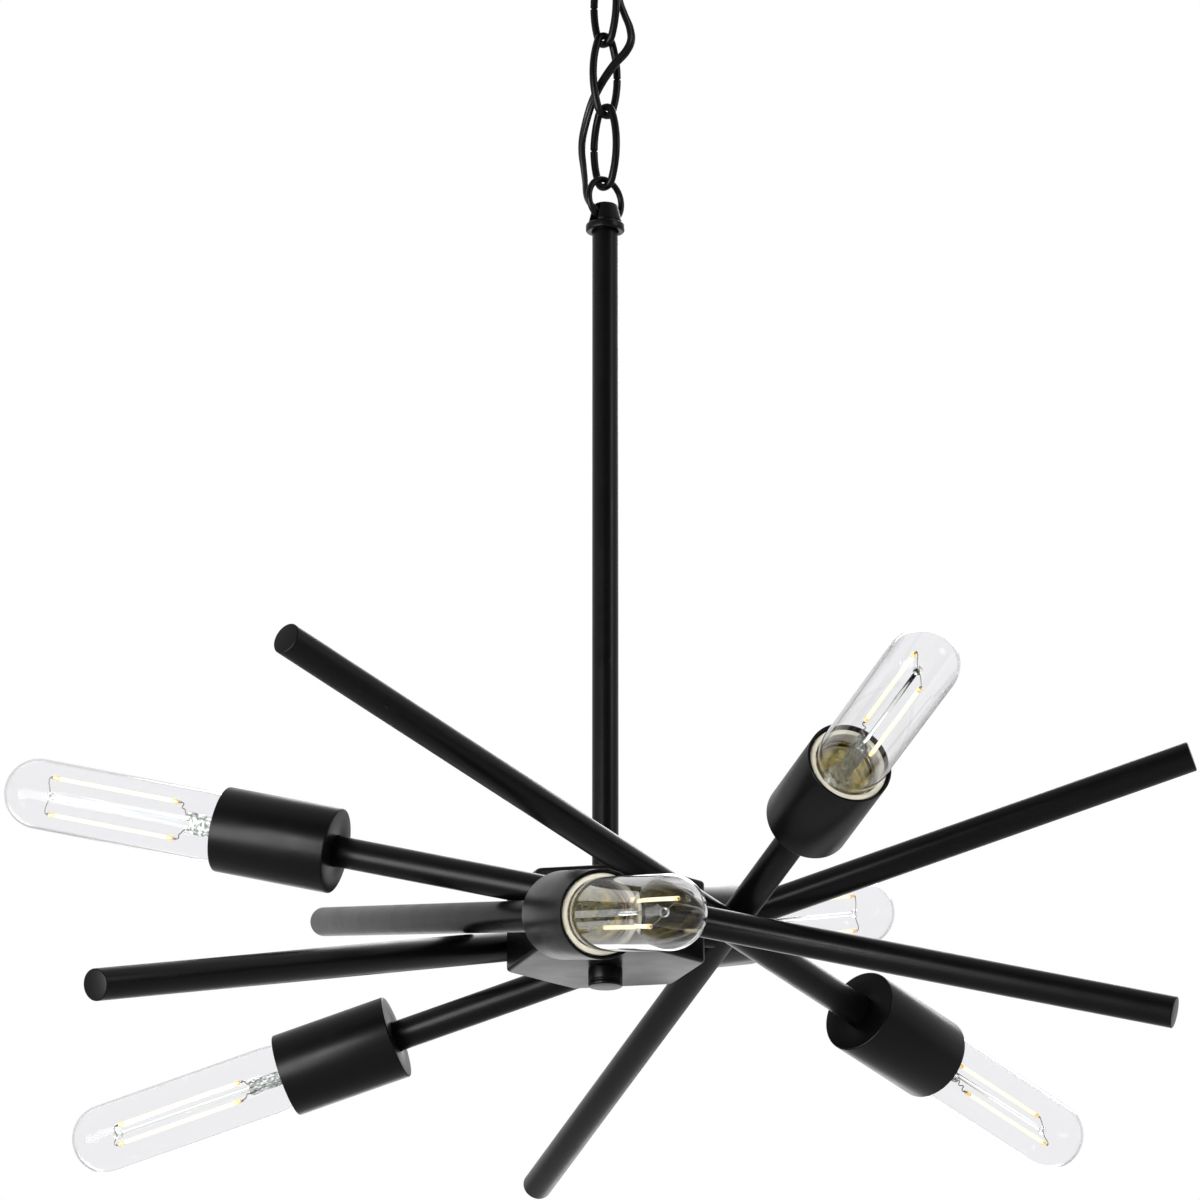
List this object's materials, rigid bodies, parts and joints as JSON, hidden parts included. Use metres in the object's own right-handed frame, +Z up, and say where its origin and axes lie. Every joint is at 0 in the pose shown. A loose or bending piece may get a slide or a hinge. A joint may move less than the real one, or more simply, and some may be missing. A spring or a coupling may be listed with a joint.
{
  "type": "sputnik chandelier",
  "caption": "Hanging light: straight rods cross round a faceted hub under a stem and chain, each with a deep lamp cup and a clear tubular lamp at one end.",
  "frame": {"origin": "the point on the ceiling plane where the stem's axis meets it, at the middle of the canopy's rim", "axes": "+Z up into the ceiling, +Y away from the viewer of the picture, +X to the viewer's right"},
  "size_m": [0.5712, 0.5738, 0.6314],
  "materials": {
    "black_coat": "satin black powder coat",
    "zinc_steel": "zinc plated",
    "brass": "plain brass",
    "ivory": "unglazed cream insulator",
    "flex": "matt black insulation",
    "clear_glass": "clear thin glass",
    "filament": "warm white straight filaments on a glass foot"
  },
  "bodies": {
    "ceiling": {"canopy": "black_coat", "crossbar": "zinc_steel", "canopy_loop": "black_coat", "cord": "flex"},
    "link_c": {"link_c": "black_coat"},
    "link_b": {"link_b": "black_coat"},
    "link_a": {"link_a": "black_coat"},
    "hang_ring": {"hang_ring": "black_coat"},
    "fixture": {"stem_cap": "black_coat", "stem": "black_coat", "hub_shell": "black_coat", "finial": "black_coat"},
    "arm_1": {"standoff_1": "black_coat", "rod_1": "black_coat", "cup_1": "black_coat", "lampholder_1": "ivory", "screw_shell_1": "brass"},
    "bulb_1": {"bulb_base_1": "brass", "bulb_glass_1": "clear_glass", "bulb_filament_1": "filament"},
    "arm_2": {"standoff_2": "black_coat", "rod_2": "black_coat", "cup_2": "black_coat", "lampholder_2": "ivory", "screw_shell_2": "brass"},
    "bulb_2": {"bulb_base_2": "brass", "bulb_glass_2": "clear_glass", "bulb_filament_2": "filament"},
    "arm_3": {"standoff_3": "black_coat", "rod_3": "black_coat", "cup_3": "black_coat", "lampholder_3": "ivory", "screw_shell_3": "brass"},
    "bulb_3": {"bulb_base_3": "brass", "bulb_glass_3": "clear_glass", "bulb_filament_3": "filament"},
    "arm_4": {"standoff_4": "black_coat", "rod_4": "black_coat", "cup_4": "black_coat", "lampholder_4": "ivory", "screw_shell_4": "brass"},
    "bulb_4": {"bulb_base_4": "brass", "bulb_glass_4": "clear_glass", "bulb_filament_4": "filament"},
    "arm_5": {"standoff_5": "black_coat", "rod_5": "black_coat", "cup_5": "black_coat", "lampholder_5": "ivory", "screw_shell_5": "brass"},
    "bulb_5": {"bulb_base_5": "brass", "bulb_glass_5": "clear_glass", "bulb_filament_5": "filament"},
    "arm_6": {"standoff_6": "black_coat", "rod_6": "black_coat", "cup_6": "black_coat", "lampholder_6": "ivory", "screw_shell_6": "brass"},
    "bulb_6": {"bulb_base_6": "brass", "bulb_glass_6": "clear_glass", "bulb_filament_6": "filament"}
  },
  "joints": [
    {"name": "link_c_swing", "type": "hinge", "parent": "ceiling", "child": "link_c", "pos_m": [0, 0, -0.05], "axis": [0.7337, 0.6794, 0], "range_deg": [-20, 20], "deforming": ["cord"]},
    {"name": "link_b_swing", "type": "hinge", "parent": "link_c", "child": "link_b", "pos_m": [0, 0, -0.0873], "axis": [-0.6794, 0.7337, 0], "range_deg": [-20, 20], "deforming": ["cord"]},
    {"name": "link_a_swing", "type": "hinge", "parent": "link_b", "child": "link_a", "pos_m": [0, 0, -0.1247], "axis": [0.7337, 0.6794, 0], "range_deg": [-20, 20], "deforming": ["cord"]},
    {"name": "ring_swing", "type": "hinge", "parent": "link_a", "child": "hang_ring", "pos_m": [0, 0, -0.1621], "axis": [-0.6794, 0.7337, 0], "range_deg": [-20, 20], "deforming": ["cord"]},
    {"name": "cap_swing", "type": "hinge", "parent": "hang_ring", "child": "fixture", "pos_m": [0, 0, -0.17975], "axis": [0.7337, 0.6794, 0], "range_deg": [-12, 12], "deforming": ["cord"]},
    {"name": "arm_1_swivel", "type": "hinge", "parent": "fixture", "child": "arm_1", "pos_m": [-0.01285, -0.05745, -0.535], "axis": [0.2182, 0.9759, 0], "range_deg": [0, 72]},
    {"name": "bulb_1_unscrew", "type": "slide", "parent": "arm_1", "child": "bulb_1", "axis": [-0.9475, 0.2119, 0.2396], "range_m": [0, 0.024]},
    {"name": "arm_2_swivel", "type": "hinge", "parent": "fixture", "child": "arm_2", "pos_m": [0.04383, -0.0393, -0.535], "axis": [-0.7445, 0.6676, 0], "range_deg": [0, 72]},
    {"name": "bulb_2_unscrew", "type": "slide", "parent": "arm_2", "child": "bulb_2", "axis": [0.6464, 0.7208, -0.2504], "range_m": [0, 0.024]},
    {"name": "arm_3_swivel", "type": "hinge", "parent": "fixture", "child": "arm_3", "pos_m": [0.05569, 0.01907, -0.535], "axis": [-0.9461, -0.324, 0], "range_deg": [0, 72]},
    {"name": "bulb_3_unscrew", "type": "slide", "parent": "arm_3", "child": "bulb_3", "axis": [0.3147, -0.919, 0.2373], "range_m": [0, 0.024]},
    {"name": "arm_4_swivel", "type": "hinge", "parent": "fixture", "child": "arm_4", "pos_m": [0.01175, 0.05769, -0.535], "axis": [-0.1996, -0.9799, 0], "range_deg": [0, 72]},
    {"name": "bulb_4_unscrew", "type": "slide", "parent": "arm_4", "child": "bulb_4", "axis": [-0.9366, 0.1908, -0.294], "range_m": [0, 0.024]},
    {"name": "arm_5_swivel", "type": "hinge", "parent": "fixture", "child": "arm_5", "pos_m": [-0.04409, 0.03901, -0.535], "axis": [0.7489, -0.6627, 0], "range_deg": [0, 72]},
    {"name": "bulb_5_unscrew", "type": "slide", "parent": "arm_5", "child": "bulb_5", "axis": [0.6439, 0.7277, 0.2365], "range_m": [0, 0.024]},
    {"name": "arm_6_swivel", "type": "hinge", "parent": "fixture", "child": "arm_6", "pos_m": [-0.0559, -0.01847, -0.535], "axis": [0.9495, 0.3137, 0], "range_deg": [0, 72]},
    {"name": "bulb_6_unscrew", "type": "slide", "parent": "arm_6", "child": "bulb_6", "axis": [0.3063, -0.9269, -0.2168], "range_m": [0, 0.024]}
  ]
}
